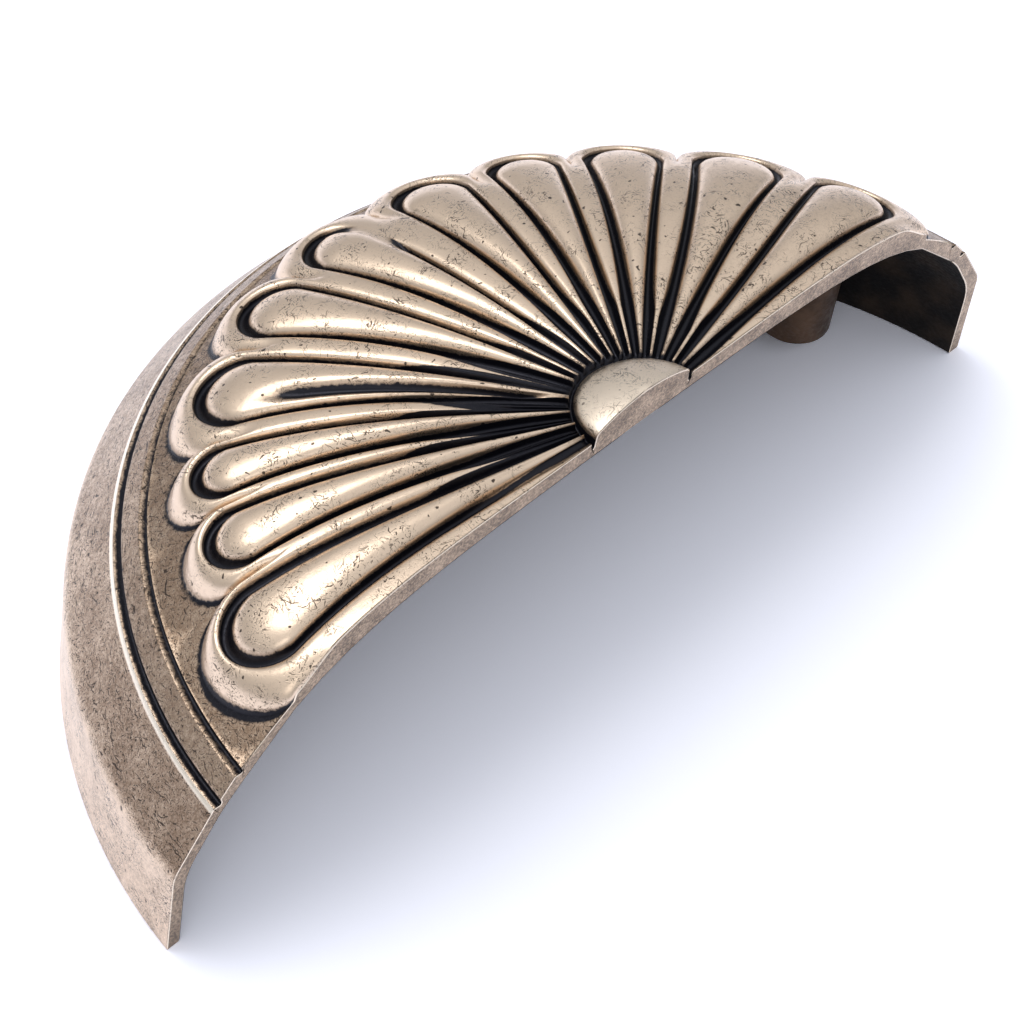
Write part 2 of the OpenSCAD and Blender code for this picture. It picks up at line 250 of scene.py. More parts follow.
def petal_plan(i):
    """Spine, lobe edge and outline of one petal, as U shapes with matching points."""
    first, last = max(fan_angles[i], FRONT_STRIP), min(fan_angles[i + 1], math.pi - FRONT_STRIP)
    mid, half = (first + last) / 2, (last - first) / 2
    lobe_reach = scallop_reach(mid) - LOBE_BORDER - SHORTER_LOBE.get(i, 0)
    end_r = lobe_reach / (1 + LOBE_SHARE * math.tan(half))
    spine_r = START_R + (end_r - START_R) * along
    taper = LOBE_TAPER + (1 - LOBE_TAPER) * (spine_r - TAPER_R) / (end_r - TAPER_R)
    half_width = spine_r * math.tan(half) * LOBE_SHARE * taper
    spine = polar(spine_r, mid)
    forward, sideways = polar(1.0, mid), polar(1.0, mid + math.pi / 2)
    right = LOST_WIDTH if i == LOST_PETAL else 1.0
    t = -np.cos(math.pi * round_end)
    bulge = np.sqrt(1 - t * t)
    turned = (t * np.where(t < 0, right, 1.0))[:, None]
    ahead = np.sin(math.pi * round_end)[:, None]
    lobe_end = spine[-1] + half_width[-1] * (ahead * forward + turned * sideways)
    a = (fan_angles[i] + fan_angles[i + 1]) / 2 + (fan_angles[i + 1] - fan_angles[i]) / 2 * t
    notch = notch_depth(i) * (1 - t) / 2 + notch_depth(i + 1) * (1 + t) / 2
    scallop = polar(scallop_reach(a) - SHORTER_SCALLOP.get(i, 0) * bulge - notch * (1 - bulge), a)
    lobe = u_shape(spine - right * half_width[:, None] * sideways, lobe_end,
                   spine + half_width[:, None] * sideways)
    outline = u_shape(strip_line(i), scallop, strip_line(i + 1))
    middle = u_shape(spine, np.repeat(spine[-1:], ARC_N - 1, axis=0), spine)
    return middle, lobe, outline


print("petal plan: three lines of", U_N, "points")

# %% [markdown]
# ## Points across a petal
# The value `across` runs from 0 on a lobe's middle line to 1 at its edge, 1.4 at the groove's far bank and
# 2 at the border's outer line. So one carving profile serves wide and narrow petals, while the gouge leaves
# a groove of the same width everywhere. Rows lie closer where the profile bends sharply.

# %% Points across a petal
ACROSS = np.array([0, 0.15, 0.3, 0.45, 0.6, 0.73, 0.82, 0.89, 0.94, 0.97, 1, 1.05, 1.11, 1.18, 1.25, 1.31,
                   1.36, 1.4, 1.5, 1.6, 1.7, 1.8, 1.88, 1.94, 1.975, 2])
BANK = 1.4
BANK_LIMIT = 0.8
CARVING_WIDTH = 0.8


def lay_out(i, across):
    """Plan of petal i, from its spine over the lobe's edge and the groove to its outline."""
    middle, lobe, outline = petal_plan(i)
    gap = np.linalg.norm(outline - lobe, axis=-1)
    bank = np.minimum(BANK_LIMIT, CARVING_WIDTH / gap)
    in_groove = bank * (across - 1) / (BANK - 1)
    on_border = bank + (1 - bank) * (across - BANK) / (2 - BANK)
    outer = np.clip(np.where(across < BANK, in_groove, on_border), 0, 1)[..., None]
    inner = np.clip(across, 0, 1)[..., None]
    return np.where(outer > 0, lobe * (1 - outer) + outline * outer, middle * (1 - inner) + lobe * inner)


print(len(ACROSS), "rows across a petal")

# %% [markdown]
# ## Slips of the hand
# Some cuts are irregular: the fourth lobe from the left has a short extra groove, the middle lobe's groove
# fades at its right end, and on the left the grooves crowd together at the hub and the strips between them
# sink. They could be sculpted, but a soft rule along and across the petal keeps its place when a size
# changes.

# %% Slips of the hand
FLAW_PETAL = 7
FLAW_AT, FLAW_WIDTH = 0.5, 0.2
FIRST_PETAL = PETALS - 1
CROWDED = {7: 0.6, 8: 1.0, 9: 1.0, 10: 0.8}
fine_across = np.unique(np.concatenate([ACROSS, np.linspace(0.25, 0.8, 12)]))


def smooth_step(x, start, end):
    t = np.clip((x - start) / (end - start), 0, 1)
    return t * t * (3 - 2 * t)


side_share = u_shape(along, np.ones(ARC_N - 1), along)
right_side = np.arange(U_N) <= SIDE_N
left_side = np.arange(U_N) >= SIDE_N + ARC_N
end_turn = np.clip((np.arange(U_N) - SIDE_N) / ARC_N, 0, 1)
lost = np.where(right_side, smooth_step(side_share, 0.78, 0.9), 1 - smooth_step(end_turn, 0.12, 0.4))
clean = np.where(right_side, smooth_step(side_share, 0.86, 0.94), 1 - smooth_step(end_turn, 0.05, 0.3))


def extra_groove(across):
    run = smooth_step(side_share, 0.02, 0.16) * (1 - smooth_step(side_share, 0.82, 1.0)) * left_side
    run = run * smooth_step(across, 0.0, 0.25)
    return np.exp(-((across - FLAW_AT) / (FLAW_WIDTH * (2.1 - 1.1 * side_share))) ** 2) * run


def faded_groove(across):
    return lost * smooth_step(across, 0.6, 0.9) * (1 - smooth_step(across, 1.4, 1.75))


def crowding(i, out):
    """How much the grooves on both sides of a petal crowd together, by the distance from the hub."""
    crowd = np.where(right_side, CROWDED.get(i, 0), np.where(left_side, CROWDED.get(i + 1, 0), 0))
    return crowd * (1 - smooth_step(out, 9, 17))


def thinning(i, out):
    """The first groove on the left is thin near the hub."""
    return (left_side if i == FIRST_PETAL else 0) * (1 - smooth_step(out, 8, 16))


print("extra groove on petal", FLAW_PETAL, "and a faded one on petal", LOST_PETAL)

# %% [markdown]
# ## Laying the petals
# Each point gets its place on the dome and the values that later steps read: `across`, `end` and `relief`
# for the carving, one value for oxide in the grooves, which on the base band also carries painted shade,
# and `film` for the brown film. They could be painted by hand, but the rules that shape a petal also tell
# where dirt stays.

# %% Lay the petals
FLAW_DEPTH = 0.6
CROWD_DEPTH = 0.4
HUB_DIRT, HUB_DIRT_REACH = 0.5, 2.4
LEAST_RELIEF, FULL_RELIEF_R = 0.5, 15
PETAL_FILM, BROWNER_TO_THE_RIGHT = 0.1, 0.18
end_blend = smooth_step(side_share, 0.86, 1.0)


def groove_grime(across, out, crowd, thin):
    """Oxide from the lobe's edge to the far bank, in a wider band near the hub."""
    near_hub = 1 - smooth_step(out, START_R, 13)
    start = 0.97 - 0.25 * near_hub + 0.15 * thin
    end = 1.31 + 0.2 * near_hub + 0.8 * crowd - 0.2 * thin
    begun = smooth_step(across, start - 0.08, start + 0.06)
    return begun * (1 - smooth_step(across, end - 0.06, end + 0.1))


petal_ids = []
for i in range(PETALS):
    across = (fine_across if i == FLAW_PETAL else ACROSS)[:, None]
    plan = lay_out(i, across)
    out = np.linalg.norm(plan, axis=-1)
    crowd, thin = crowding(i, out), thinning(i, out)
    grime = groove_grime(across, out, crowd, thin)
    relief = LEAST_RELIEF + (1 - LEAST_RELIEF) * smooth_step(out, START_R, FULL_RELIEF_R)
    flaw = extra_groove(across) if i == FLAW_PETAL else np.zeros_like(out)
    if i == LOST_PETAL:
        relief = relief * (1 - 0.95 * faded_groove(across))
        grime = grime * (1 - clean)
    relief = relief * (1 - 0.5 * thin)
    z = crest(plan) - FLAW_DEPTH * flaw - CROWD_DEPTH * crowd * smooth_step(across, 1.3, 1.7)
    hub_dirt = HUB_DIRT * (1 - smooth_step(out, START_R - 0.2, START_R + HUB_DIRT_REACH))
    grime = np.maximum(np.maximum(grime, flaw), hub_dirt)
    # The petals turn browner towards the right.
    film = PETAL_FILM + BROWNER_TO_THE_RIGHT * smooth_step(plan[..., 0], 4, 30)
    ids = skin.add(np.concatenate([plan, z[..., None]], -1), across=across, end=end_blend[None, :],
                   relief=relief, grime=grime, film=film)
    skin.band(ids[::-1], OUTSIDE)
    petal_ids.append(ids)
print(PETALS, "petals of", len(ACROSS) * U_N, "points each, and more on petal", FLAW_PETAL)

# %% [markdown]
# ## Section of the rim
# Outside the scallops come a base band, a groove, a flat, a second groove, the ridge, the bevel and the
# upright wall. The pattern maker turned this section on a lathe. A bevel modifier could soften its corners,
# but it would round the carving too. So the section is drawn with soft corners, and the slope's points say
# how much soot lies on them.

# %% Slope with two grooves
ARC_OFFSET = 5.7
RIDGE_INSET = 3.2
RIDGE_HEIGHT = 12.4
GROOVE_INSET = 5.2
GROOVE_HEIGHT = 14.7
GROOVE_WIDTH = 0.8
GROOVE_DEPTH = 0.45
SLOPE_N = 40

outer_r = math.hypot(pull_length / 2, ARC_OFFSET)
groove_r = outer_r - GROOVE_INSET
lip_z = GROOVE_HEIGHT + 0.05
ridge = np.array([outer_r - RIDGE_INSET, RIDGE_HEIGHT])
second = np.array([groove_r, GROOVE_HEIGHT])
first_at = GROOVE_WIDTH * 0.7
second_at = np.linalg.norm(second - ridge)
up_slope = (second - ridge) / second_at
into_slope = np.array([-up_slope[1], up_slope[0]])
into_slope = into_slope * -np.sign(into_slope[1])


def groove_bump(s, at):
    x = np.clip(np.abs(s - at) / (GROOVE_WIDTH * 0.5), 0, 1)
    return np.cos(x * math.pi / 2) ** 1.6


s = np.linspace(second_at + GROOVE_WIDTH * 0.55, 0.1, SLOPE_N)
first_bump, second_bump = groove_bump(s, first_at), groove_bump(s, second_at)
cut = GROOVE_DEPTH * (first_bump + second_bump)
slope_line = ridge + s[:, None] * up_slope + into_slope * cut[:, None]
slope_line[:, 1] = np.minimum(slope_line[:, 1], lip_z + 0.12)
smear = 0.5 * np.exp(-((s - first_at - 0.3) / 0.45) ** 2) + 0.46 * np.exp(-((s - second_at) / 0.5) ** 2)
soot = np.maximum(np.sqrt(first_bump) + 0.75 * np.sqrt(second_bump), smear)
print("slope:", SLOPE_N, "points, rim radius", round(outer_r, 2), "mm")

# %% Whole section, with soft corners
RIM_THICKNESS = 1.1
WALL_HEIGHT = 7.9
WALL_DRAFT = 0.15
RIDGE_ROUND, CREASE_ROUND, FOOT_ROUND = 0.15, 0.7, 0.18
INNER_CREASE_ROUND, INNER_RIDGE_ROUND = 1.6, 1.2


def corner(before, at, after, radius, n):
    """Points of a soft corner between two straight stretches."""
    a = at + (before - at) / np.linalg.norm(before - at) * radius
    b = at + (after - at) / np.linalg.norm(after - at) * radius
    t = np.linspace(0, 1, n)[:, None]
    return (1 - t) ** 2 * a + 2 * t * (1 - t) * at + t ** 2 * b


def straight(a, b, n):
    t = np.linspace(0, 1, n + 2)[1:-1, None]
    return a * (1 - t) + b * t


crease = np.array([outer_r - WALL_DRAFT, WALL_HEIGHT])
foot = np.array([outer_r, 0.0])
inner_foot = np.array([outer_r - RIM_THICKNESS, 0.0])
inner_crease = np.array([outer_r - WALL_DRAFT - RIM_THICKNESS, WALL_HEIGHT - RIM_THICKNESS * 0.5])
bevel = np.array([RIDGE_INSET - WALL_DRAFT, RIDGE_HEIGHT - WALL_HEIGHT])
bevel_in = np.array([bevel[1], bevel[0]]) / np.linalg.norm(bevel) * -RIM_THICKNESS
inner_ridge = ridge + (into_slope * RIM_THICKNESS + bevel_in) / 2
join_under = np.array([groove_r - GROOVE_WIDTH * 0.6, lip_z - 0.35 - RIM_THICKNESS])
ridge_corner = corner(slope_line[-1], ridge, crease, RIDGE_ROUND, 6)
crease_corner = corner(ridge, crease, foot, CREASE_ROUND, 7)
bevel_top = ridge_corner[-1:] + (crease_corner[0] - ridge_corner[-1]) * 0.03
foot_corner = corner(crease, foot, inner_foot, FOOT_ROUND, 4)
outer_section = np.concatenate([
    slope_line, ridge_corner, bevel_top, straight(bevel_top[-1], crease_corner[0], 7), crease_corner,
    straight(crease_corner[-1], foot_corner[0], 6), foot_corner])
inner_section = np.concatenate([
    corner(foot, inner_foot, inner_crease, FOOT_ROUND, 4), straight(inner_foot, inner_crease, 3),
    corner(inner_foot, inner_crease, inner_ridge, INNER_CREASE_ROUND, 6),
    straight(inner_crease, inner_ridge, 2),
    corner(inner_crease, inner_ridge, join_under, INNER_RIDGE_ROUND, 6),
    straight(inner_ridge, join_under, 1), join_under[None]])
print("rim section:", len(outer_section), "points outside and", len(inner_section), "inside")

# %% [markdown]
# ## Base band
# The plain strip between scallops and rim rises from the groove as a cone and eases into the dome just
# under the petals' borders. A straight strip would cut through the scallops. The rings of points start on
# the scallops, so petals and band share points and no gap can open.

# %% Rings of the base band
BORDER_FALL = 0.9
BASE_SLOPE, LEAST_STEP, SOFTNESS = 0.8, 0.4, 0.3
STEP_FILM, BAND_FILM = 0.3, 0.85
# The last number of each ring sets how dark it is: partly oxide in the corner, partly painted shade, a dark
# line at the foot of the border step.
STEP_RINGS = ((0.4, 0.3, 0.05), (0.75, 0.68, 0.34), (1.0, 1.0, 0.62))
BAND_RINGS = ((0.1, 0.12, 0.6), (0.22, 0.25, 0.5), (0.38, 0.4, 0.34), (0.6, 0.52, 0.16),
              (0.9, 0.64, 0.0), (1.3, 0.76, 0.0), (1.9, 0.88, 0.0))


def scallop_ends(i):
    """Where the scallop of petal i lies in its U shape. The last petal also gives its last point."""
    return slice(SIDE_N, SIDE_N + ARC_N + (i == PETALS - 1))


def circle(r, a, z, **values):
    """Adds a row of points round the hub, with both ends on the front plane."""
    plan = polar(r, a)
    plan[[0, -1], 1] = 0
    return skin.add(np.concatenate([plan, np.broadcast_to(z, a.shape)[:, None]], -1), **values)


def reach_of(r, a):
    """Distance from the hub to the rim's circle of radius r, whose middle lies in front of the hub."""
    return np.sqrt(r * r - (ARC_OFFSET * np.cos(a)) ** 2) - ARC_OFFSET * np.sin(a)


outline = np.concatenate([petal_plan(i)[2][scallop_ends(i)] for i in range(PETALS)])
ring_a = fan_angle(outline)
ring_a[0], ring_a[-1] = 0.0, math.pi
outline_r = np.linalg.norm(outline, axis=-1)
edge_z = crest(outline) - BORDER_FALL
band_r = reach_of(outer_section[0, 0], ring_a)
band_z = outer_section[0, 1]
foot_r = np.minimum(outline_r + 0.2, band_r - 0.12)
# The notches and the left end get more of this painted shade.
in_notch = 1 - np.abs(np.sin(math.pi * np.arange(len(ring_a)) / ARC_N))
in_notch = np.maximum(in_notch, 0.8 * smooth_step(ring_a, math.radians(166), math.radians(172)))


def base_height(r):
    """Height of the base band: a cone up from the groove that eases into the dome, below the border."""
    cone = band_z + BASE_SLOPE * (band_r - r)
    under_border = crest(polar(r, ring_a)) - BORDER_FALL - LEAST_STEP
    return (cone + under_border - np.sqrt((cone - under_border) ** 2 + SOFTNESS ** 2)) / 2


lift = band_z - base_height(band_r)
foot_z = base_height(foot_r)
rings = [np.concatenate([ids[-1, scallop_ends(i)] for i, ids in enumerate(petal_ids)])]
for share, drop, grime in STEP_RINGS:
    rings.append(circle(outline_r + (foot_r - outline_r) * share, ring_a, edge_z + (foot_z - edge_z) * drop,
                        grime=grime + 0.5 * in_notch, film=STEP_FILM))
for away, most, grime in BAND_RINGS:
    share = np.minimum(away / (band_r - foot_r), most)
    r = foot_r + (band_r - foot_r) * share
    rings.append(circle(r, ring_a, base_height(r) + lift * share, grime=grime * (1 + 0.8 * in_notch),
                        film=BAND_FILM))
print("base band:", len(rings), "rings of", len(ring_a), "points")

# %% [markdown]
# ## Rim and underside
# The section runs round the arc, over the rim and up inside. The underside then follows the dome at the
# casting's thickness. A Solidify modifier would copy the carving to the inside, and a cast shell is smooth
# there. The brown film is thicker near both tips, and the ridge is painted pale: rubbed brass and a painted
# highlight line.

# %% Rings of the rim and the underside
FAN_THICKNESS = 1.4
FAN_EDGE_THICKNESS = 2.6
UNDER_N = 14
SLOPE_FILM, WALL_FILM = 0.75, 0.2


def fan_depth(p):
    return FAN_THICKNESS + (FAN_EDGE_THICKNESS - FAN_THICKNESS) * np.minimum(1, fan_share(p) ** 2)


near_tip = smooth_step(np.abs(np.cos(ring_a)), 0.8, 0.99)
for k, (r, z) in enumerate(outer_section):
    on_slope = k < SLOPE_N
    on_ridge = SLOPE_N - 1 <= k < SLOPE_N + len(ridge_corner)
    on_bevel = smooth_step(z, WALL_HEIGHT - 0.4, WALL_HEIGHT + 0.7)
    film = SLOPE_FILM if on_slope else WALL_FILM + 0.44 * on_bevel + (0.22 - 0.06 * on_bevel) * near_tip
    # The ridge's points are painted pale: rubbed brass and a painted highlight line.
    rings.append(circle(reach_of(r, ring_a), ring_a, z, grime=soot[k] if on_slope else 0.0, film=film,
                        wear=1.0 if on_ridge else 0.0))
n_outer = len(rings)
for r, z in inner_section:
    rings.append(circle(reach_of(r, ring_a), ring_a, z))
under_r = scallop_reach(ring_a) - NOTCH_DEPTH
for k in range(UNDER_N, 0, -1):
    plan = polar(under_r * k / UNDER_N, ring_a)
    rings.append(circle(under_r * k / UNDER_N, ring_a, crest(plan) - fan_depth(plan)))
under_hub = [0, 0, FAN_HUB_HEIGHT - FAN_THICKNESS]
rings.append(skin.add(np.broadcast_to(under_hub, (len(ring_a), 3)).copy()))
rings = np.stack(rings)
skin.band(rings[n_outer::-1], OUTSIDE)
skin.band(rings[:n_outer - 1:-1], INSIDE)
print(len(rings), "rings of", len(ring_a), "points,", n_outer, "of them outside")

# %% [markdown]
# ## Hub
# The petals meet at a half-round boss with a slightly domed top that leans back, and a dark groove runs
# round it. A separate cylinder would cut through the petals. So rings of points follow the petals' inner
# ends down into the groove and up over the boss, and the skin stays closed.

# %% Hub
HUB_RISE = 1.7
HUB_CROWN = 1.1
HUB_GROOVE = 0.55
HUB_WEAR = 0.5
lean = math.tan(math.radians(11))
inner_ends = [np.concatenate([ids[:0:-1, 0], ids[:-1, -1]]) for ids in petal_ids]
hub_ring = np.concatenate(inner_ends + [petal_ids[-1][-1:, -1]])
hub_a = fan_angle(np.concatenate(skin.points)[hub_ring][:, :2])
hub_a[0], hub_a[-1] = 0.0, math.pi


def boss_top(r):
    return FAN_HUB_HEIGHT + HUB_RISE - HUB_CROWN * (r / HUB_RADIUS) ** 2 - lean * r * np.sin(hub_a)


groove_z = crest(polar(START_R, hub_a)) - HUB_GROOVE
rim_top = boss_top(HUB_RADIUS)
hub_rings = [hub_ring]
for out, z, grime in (
        (0.22, groove_z, 1.0), (0.1, groove_z - 0.06, 1.0), (0.02, groove_z + 0.05, 1.0),
        (-0.01, groove_z + (rim_top - groove_z) * 0.5, 0.85), (-0.05, rim_top - 0.16, 0.2),
        (-0.14, rim_top - 0.02, 0.0)):
    hub_rings.append(circle(HUB_RADIUS + out, hub_a, z, grime=grime))
for r in HUB_RADIUS * np.array([0.94, 0.88, 0.8, 0.68, 0.52, 0.34, 0.16, 0.0]):
    hub_rings.append(circle(r, hub_a, boss_top(r), wear=HUB_WEAR))
hub_rings = np.stack(hub_rings)
skin.band(hub_rings, OUTSIDE)
print("hub:", len(hub_rings), "rings of", len(hub_a), "points")

# %% [markdown]
# ## Mesh before the carving
# The bands are welded into one mesh. Each value becomes an attribute, so that node trees and materials can
# read it by its name.

# %% Weld the skin
def make_mesh(name, points, faces, values, parts):
    """A mesh from points in millimetres, with attributes and a material number for each face."""
    mesh = bpy.data.meshes.new(name)
    mesh.from_pydata((points * MM).tolist(), [], faces)
    for key, value in values.items():
        mesh.attributes.new(key, "FLOAT", "POINT").data.foreach_set("value", value.astype(np.float32))
    mesh.polygons.foreach_set("material_index", np.array(parts, np.int32))
    return mesh


points, values, faces, parts, number = skin.welded()
points[:, 1] += FRONT_Y
casting = new_object("cup_pull_casting", make_mesh("cup_pull_casting", points, faces, values, parts))
print("skin:", len(points), "points,", len(faces), "faces, with values", sorted(values))

# %% [markdown]
# ## Helpers for node trees
# The carving, the posts and all finishes are node trees. They could be clicked together in the editor. As
# code they read from top to bottom, and these functions keep the cells short.

# %% Helpers for node trees
def new_tree(name, inputs):
    tree = bpy.data.node_groups.new(name, "GeometryNodeTree")
    tree.interface.new_socket("Geometry", in_out="INPUT", socket_type="NodeSocketGeometry")
    tree.interface.new_socket("Geometry", in_out="OUTPUT", socket_type="NodeSocketGeometry")
    for label, kind in inputs:
        tree.interface.new_socket(label, in_out="INPUT", socket_type=kind)
    return tree, tree.nodes.new("NodeGroupInput"), tree.nodes.new("NodeGroupOutput")


def plug(tree, socket, value):
    """Links a node's output to a socket, or sets a plain value on it."""
    if isinstance(value, bpy.types.NodeSocket):
        tree.links.new(value, socket)
    else:
        socket.default_value = value


def node(tree, kind, settings=(), **inputs):
    """A new node with its settings. Its inputs go by name, or by number as i0, i1 and so on."""
    made = tree.nodes.new(kind)
    for key, value in dict(settings).items():
        setattr(made, key, value)
    for key, value in inputs.items():
        by_number = key[0] == "i" and key[1:].isdigit()
        plug(tree, made.inputs[int(key[1:]) if by_number else key], value)
    return made


def math_node(tree, operation, a, b=0.0):
    return node(tree, "ShaderNodeMath", {"operation": operation}, i0=a, i1=b).outputs[0]


def mix_value(tree, share, a, b):
    return node(tree, "ShaderNodeMix", {"data_type": "FLOAT"}, i0=share, i2=a, i3=b).outputs[0]


def named_value(tree, name):
    made = node(tree, "GeometryNodeInputNamedAttribute", {"data_type": "FLOAT"}, Name=name)
    return made.outputs["Attribute"]


def curve_of(tree, value, pairs):
    made = node(tree, "ShaderNodeFloatCurve", i1=value)
    line = made.mapping.curves[0]
    line.points[0].location, line.points[1].location = pairs[0], pairs[-1]
    for pair in pairs[1:-1]:
        line.points.new(*pair)
    for point in line.points:
        point.handle_type = "AUTO_CLAMPED"
    made.mapping.update()
    return made.outputs[0]


def apply_tree(obj, tree, inputs):
    """Runs a tree on an object with named inputs, and keeps the result as a plain mesh."""
    modifier = obj.modifiers.new(tree.name, "NODES")
    modifier.node_group = tree
    for item in tree.interface.items_tree:
        if item.in_out == "INPUT" and item.name in inputs:
            modifier[item.identifier] = inputs[item.name]
    graph = bpy.context.evaluated_depsgraph_get()
    result = bpy.data.meshes.new_from_object(
        obj.evaluated_get(graph), preserve_all_data_layers=True, depsgraph=graph)
    obj.modifiers.remove(modifier)
    obj.data = result
    return result


print("helpers for node trees ready")

# %% [markdown]
# ## Helpers for materials
# The finishes are noise in object space, in millimetres, so they stay on the metal from every side. Hair
# scratches are noise drawn out along one direction and cut near its top. An image of scratches would repeat
# and would need a UV map.

# %% Helpers for materials
def new_material(name):
    material = bpy.data.materials.new(name)
    material.use_nodes = True
    tree = material.node_tree
    tree.nodes.clear()
    shader = tree.nodes.new("ShaderNodeBsdfPrincipled")
    result = tree.nodes.new("ShaderNodeOutputMaterial")
    tree.links.new(shader.outputs[0], result.inputs["Surface"])
    return material, tree, shader


def set_shader(tree, shader, inputs):
    for name, value in inputs.items():
        plug(tree, shader.inputs[name], value)


def millimetres(tree):
    place = tree.nodes.new("ShaderNodeTexCoord").outputs["Object"]
    return node(tree, "ShaderNodeVectorMath", {"operation": "SCALE"}, i0=place, Scale=1 / MM).outputs[0]


def attribute(tree, name):
    return node(tree, "ShaderNodeAttribute", {"attribute_name": name}).outputs["Fac"]


def noise(tree, place, scale, detail=3.0, roughness=0.5):
    made = node(tree, "ShaderNodeTexNoise", Vector=place, Scale=scale, Detail=detail, Roughness=roughness)
    return made.outputs["Fac"]


def ramp(tree, value, start, end, to_min=0.0, to_max=1.0):
    made = node(tree, "ShaderNodeMapRange", {"interpolation_type": "SMOOTHSTEP"},
                i0=value, i1=start, i2=end, i3=to_min, i4=to_max)
    return made.outputs[0]


def mix_colour(tree, share, a, b):
    return node(tree, "ShaderNodeMix", {"data_type": "RGBA"}, i0=share, i6=a, i7=b).outputs[2]


def weighted(tree, *pairs):
    """The sum of some values, each times its own factor."""
    total = None
    for value, factor in pairs:
        part = math_node(tree, "MULTIPLY", value, factor)
        total = part if total is None else math_node(tree, "ADD", total, part)
    return total


def centred(tree, value, amount):
    """Noise moved to swing evenly about 0."""
    return math_node(tree, "MULTIPLY", math_node(tree, "SUBTRACT", value, 0.5), amount)


def bumpy(tree, height, strength, distance):
    return node(tree, "ShaderNodeBump", Height=height, Strength=strength, Distance=distance).outputs[0]


def hair_scratches(tree, place, turns, length, width, threshold):
    """Thin bent lines in several directions: noise drawn out along one axis and cut near its top."""
    bend = node(tree, "ShaderNodeTexNoise", Vector=place, Scale=0.9, Detail=1.0).outputs["Color"]
    bent = node(tree, "ShaderNodeVectorMath", {"operation": "MULTIPLY_ADD"},
                i0=bend, i1=(0.9, 0.9, 0.9), i2=place).outputs[0]
    total = None
    for k, turned in enumerate(turns):
        mapped = node(tree, "ShaderNodeMapping", {"vector_type": "TEXTURE"}, Vector=bent,
                      Location=(7.3 * k, 3.1 * k, 5.7 * k), Rotation=turned, Scale=(length, width, width))
        line = ramp(tree, noise(tree, mapped.outputs[0], 1.0, 1.0), threshold, threshold + 0.05)
        total = line if total is None else math_node(tree, "MAXIMUM", total, line)
    return total


print("helpers for materials ready")

# %% [markdown]
# ## Antique brass
# Antique brass starts as bright plating that is darkened all over and rubbed back: dark oxide stays in the
# carving, a brown film on the flat bands, and the edges are rubbed pale. On the ridge and the front edge the
# pale colour is also a painted highlight, and at the foot of the border step the oxide colour is also painted
# shade. A single colour would look like plastic. The masks read the attributes for oxide and painted shade,
# brown film, and wear and painted highlight, and break their edges up with noise.

# %% Masks of the antique brass
SCRATCH_TURNS = [(0.0, 0.1, 0.2), (0.1, -0.2, 0.8), (-0.1, 0.1, 1.4), (0.1, 0.2, 2.0), (0.0, -0.1, 2.6)]
brass, tree, shader = new_material("antique_brass")
place = millimetres(tree)
cloud = noise(tree, place, 0.4, 4.0)
grain = noise(tree, place, 2.6, 4.0, 0.65)
fine = noise(tree, place, 9.0, 3.0, 0.6)
wear, grime, film = (attribute(tree, name) for name in ("wear", "grime", "film"))

scratches = hair_scratches(tree, place, SCRATCH_TURNS, 3.2, 0.12, 0.648)
worn_patch = math_node(tree, "ADD", noise(tree, place, 0.5, 2.0), ramp(tree, film, 0.25, 0.75, 0.0, 0.24))
scratches = math_node(tree, "MULTIPLY", scratches, ramp(tree, worn_patch, 0.38, 0.65))
pits = ramp(tree, noise(tree, place, 2.6, 0.0), 0.79, 0.82)
marks = math_node(tree, "MAXIMUM", scratches, pits)
marks = math_node(tree, "MULTIPLY", marks, ramp(tree, wear, 0.3, 0.9, 1.0, 0.0))

broken = centred(tree, grain, 0.55)
dark = ramp(tree, math_node(tree, "ADD", grime, broken), 0.38, 0.66)
halo = ramp(tree, weighted(tree, (grime, 1.0), (broken, 0.8)), 0.04, 0.4, 0.0, 0.55)

speckle = math_node(tree, "SUBTRACT", weighted(tree, (grain, 0.8), (fine, 0.9)), 0.85)
cloudy_film = math_node(tree, "ADD", film, centred(tree, cloud, 0.6))
brown = ramp(tree, math_node(tree, "ADD", cloudy_film, speckle), 0.1, 1.1)
brown = math_node(tree, "MULTIPLY", brown, math_node(tree, "SUBTRACT", 1.0, wear))
brown = math_node(tree, "MAXIMUM", brown, halo)
print("masks of the antique brass:", len(tree.nodes), "nodes")

# %% [markdown]
# ## Colours and gloss of the brass
# The masks lie over each other in the order in which they came to be: brass, film, rubbed edges, scratches,
# oxide. The rubbed edges carry a painted highlight on the ridge and the front edge, and the oxide carries
# painted shade at the foot of the border step. The oxide is dark and a little less metallic, and keeps its
# gloss. Dents are bump only, because real ones would cost many thousands of points.

# %% Antique brass
BRASS = (0.76, 0.60, 0.455, 1)
# Pale brass for rubbed edges, also a painted highlight on the ridge and the front edge.
PALE_RUB_AND_HIGHLIGHT = (0.95, 0.85, 0.71, 1)
FILM_BROWN = (0.25, 0.17, 0.115, 1)
MARK_BROWN = (0.05, 0.038, 0.032, 1)
# Near black for oxide, also painted shade at the foot of the border step.
OXIDE_AND_SHADE = (0.008, 0.008, 0.013, 1)

colour = mix_colour(tree, brown, BRASS, FILM_BROWN)
# Pale where rubbed, and a painted highlight along the ridge and the front edge.
colour = mix_colour(tree, wear, colour, PALE_RUB_AND_HIGHLIGHT)
colour = mix_colour(tree, math_node(tree, "MULTIPLY", marks, 0.92), colour, MARK_BROWN)
